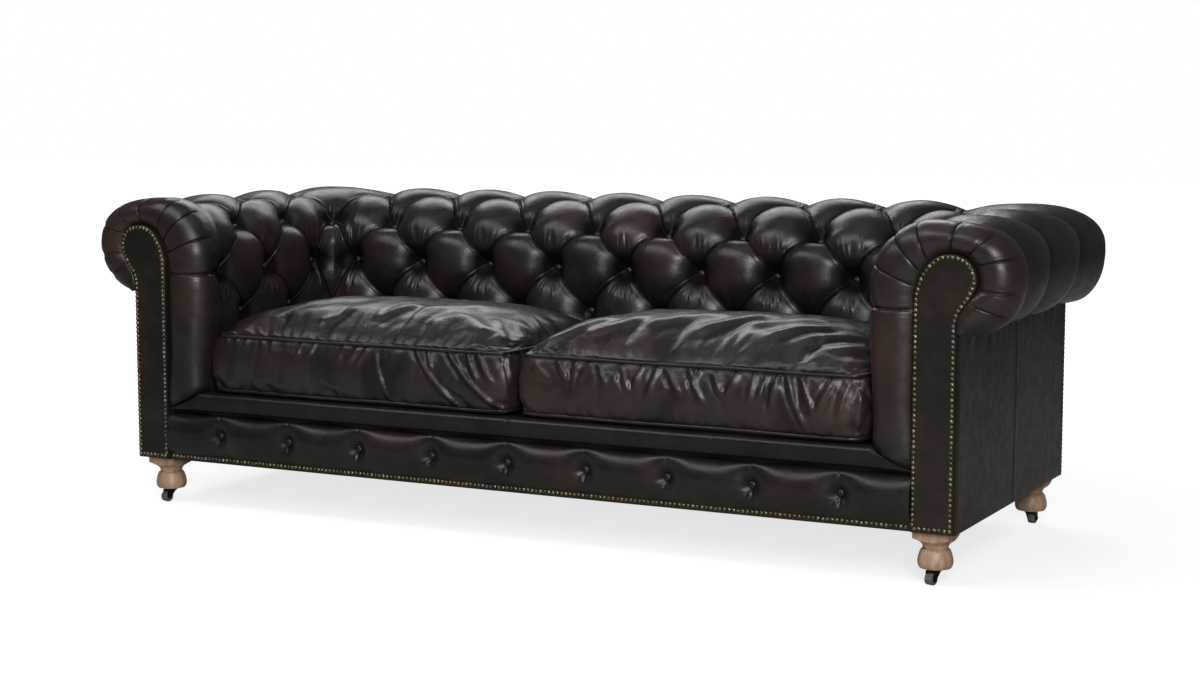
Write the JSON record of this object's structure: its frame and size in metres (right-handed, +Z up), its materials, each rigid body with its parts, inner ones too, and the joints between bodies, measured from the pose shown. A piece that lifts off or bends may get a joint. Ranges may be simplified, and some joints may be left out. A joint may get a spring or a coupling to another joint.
{
  "type": "chesterfield sofa",
  "caption": "Long low sofa with rolled arms and back at one height, deep diamond button tufting, loose crowned seat cushions, nail-trimmed scroll facings and turned feet on castors.",
  "frame": {"origin": "on the floor, midway along the sofa and midway between its foremost and rearmost points", "axes": "+X along the sofa, to the right as seen from the front, +Y from front to back, +Z up; the seat faces -Y, and left and right in names are as seen from the front"},
  "size_m": [2.306, 0.927, 0.76],
  "materials": {
    "leather": "semi-gloss, worn",
    "cushion_leather": "semi-gloss, worn",
    "frame_timber": "sawn",
    "weathered_oak": "limed, matt",
    "webbing": "woven",
    "black_cloth": "matt",
    "antique_brass": "aged",
    "black_metal": "black, satin",
    "castor_tread": "matt"
  },
  "bodies": {
    "sofa_body": {"back_former_centre": "frame_timber", "back_former_left": "frame_timber", "back_former_right": "frame_timber", "back_pad": "leather", "back_stuffing_rail": "frame_timber", "back_top_rail": "frame_timber", "border_nails": "antique_brass", "centre_cross_rail": "frame_timber", "deck_lip": "leather", "dust_cover": "black_cloth", "front_border": "leather", "front_left_castor_plate": "black_metal", "front_left_foot": "weathered_oak", "front_rail": "frame_timber", "front_right_castor_plate": "black_metal", "front_right_foot": "weathered_oak", "left_arm_pad": "leather", "left_arm_stuffing_rail": "frame_timber", "left_arm_top_rail": "frame_timber", "left_facing": "leather", "left_facing_nails": "antique_brass", "left_front_board": "frame_timber", "left_front_post": "frame_timber", "left_outside_arm": "leather", "left_rear_nails": "antique_brass", "left_rear_post": "frame_timber", "left_side_rail": "frame_timber", "outside_back": "leather", "rear_left_castor_plate": "black_metal", "rear_left_foot": "weathered_oak", "rear_rail": "frame_timber", "rear_right_castor_plate": "black_metal", "rear_right_foot": "weathered_oak", "right_arm_pad": "leather", "right_arm_stuffing_rail": "frame_timber", "right_arm_top_rail": "frame_timber", "right_facing": "leather", "right_facing_nails": "antique_brass", "right_front_board": "frame_timber", "right_front_post": "frame_timber", "right_outside_arm": "leather", "right_rear_nails": "antique_brass", "right_rear_post": "frame_timber", "right_side_rail": "frame_timber", "seat_deck": "leather", "seat_webbing": "webbing"},
    "front_left_castor_swivel": {"front_left_castor_horn": "black_metal", "front_left_castor_axle": "black_metal"},
    "front_left_castor_roller": {"front_left_castor_wheel": "castor_tread"},
    "front_right_castor_swivel": {"front_right_castor_horn": "black_metal", "front_right_castor_axle": "black_metal"},
    "front_right_castor_roller": {"front_right_castor_wheel": "castor_tread"},
    "rear_left_castor_swivel": {"rear_left_castor_horn": "black_metal", "rear_left_castor_axle": "black_metal"},
    "rear_left_castor_roller": {"rear_left_castor_wheel": "castor_tread"},
    "rear_right_castor_swivel": {"rear_right_castor_horn": "black_metal", "rear_right_castor_axle": "black_metal"},
    "rear_right_castor_roller": {"rear_right_castor_wheel": "castor_tread"},
    "left_cushion": {"left_seat_cushion": "cushion_leather"},
    "right_cushion": {"right_seat_cushion": "cushion_leather"}
  },
  "joints": [
    {"name": "front_left_castor_turn", "type": "hinge", "parent": "sofa_body", "child": "front_left_castor_swivel", "pos_m": [-0.997, -0.402, 0.02], "axis": [0, 0, 1], "continuous": true},
    {"name": "front_left_castor_roll", "type": "hinge", "parent": "front_left_castor_swivel", "child": "front_left_castor_roller", "pos_m": [-1.00133, -0.41531, 0.013], "axis": [0.9511, -0.309, 0], "continuous": true},
    {"name": "front_right_castor_turn", "type": "hinge", "parent": "sofa_body", "child": "front_right_castor_swivel", "pos_m": [0.997, -0.402, 0.02], "axis": [0, 0, 1], "continuous": true},
    {"name": "front_right_castor_roll", "type": "hinge", "parent": "front_right_castor_swivel", "child": "front_right_castor_roller", "pos_m": [0.99267, -0.41531, 0.013], "axis": [0.9511, -0.309, 0], "continuous": true},
    {"name": "rear_left_castor_turn", "type": "hinge", "parent": "sofa_body", "child": "rear_left_castor_swivel", "pos_m": [-0.997, 0.299, 0.02], "axis": [0, 0, 1], "continuous": true},
    {"name": "rear_left_castor_roll", "type": "hinge", "parent": "rear_left_castor_swivel", "child": "rear_left_castor_roller", "pos_m": [-0.99602, 0.31297, 0.013], "axis": [-0.9976, 0.0698, 0], "continuous": true},
    {"name": "rear_right_castor_turn", "type": "hinge", "parent": "sofa_body", "child": "rear_right_castor_swivel", "pos_m": [0.997, 0.299, 0.02], "axis": [0, 0, 1], "continuous": true},
    {"name": "rear_right_castor_roll", "type": "hinge", "parent": "rear_right_castor_swivel", "child": "rear_right_castor_roller", "pos_m": [0.99798, 0.31297, 0.013], "axis": [-0.9976, 0.0698, 0], "continuous": true},
    {"name": "left_cushion_lift_out", "type": "slide", "parent": "sofa_body", "child": "left_cushion", "axis": [0, -0.9903, 0.1392], "range_m": [0, 0.3]},
    {"name": "right_cushion_lift_out", "type": "slide", "parent": "sofa_body", "child": "right_cushion", "axis": [0, -0.9903, 0.1392], "range_m": [0, 0.3]}
  ]
}
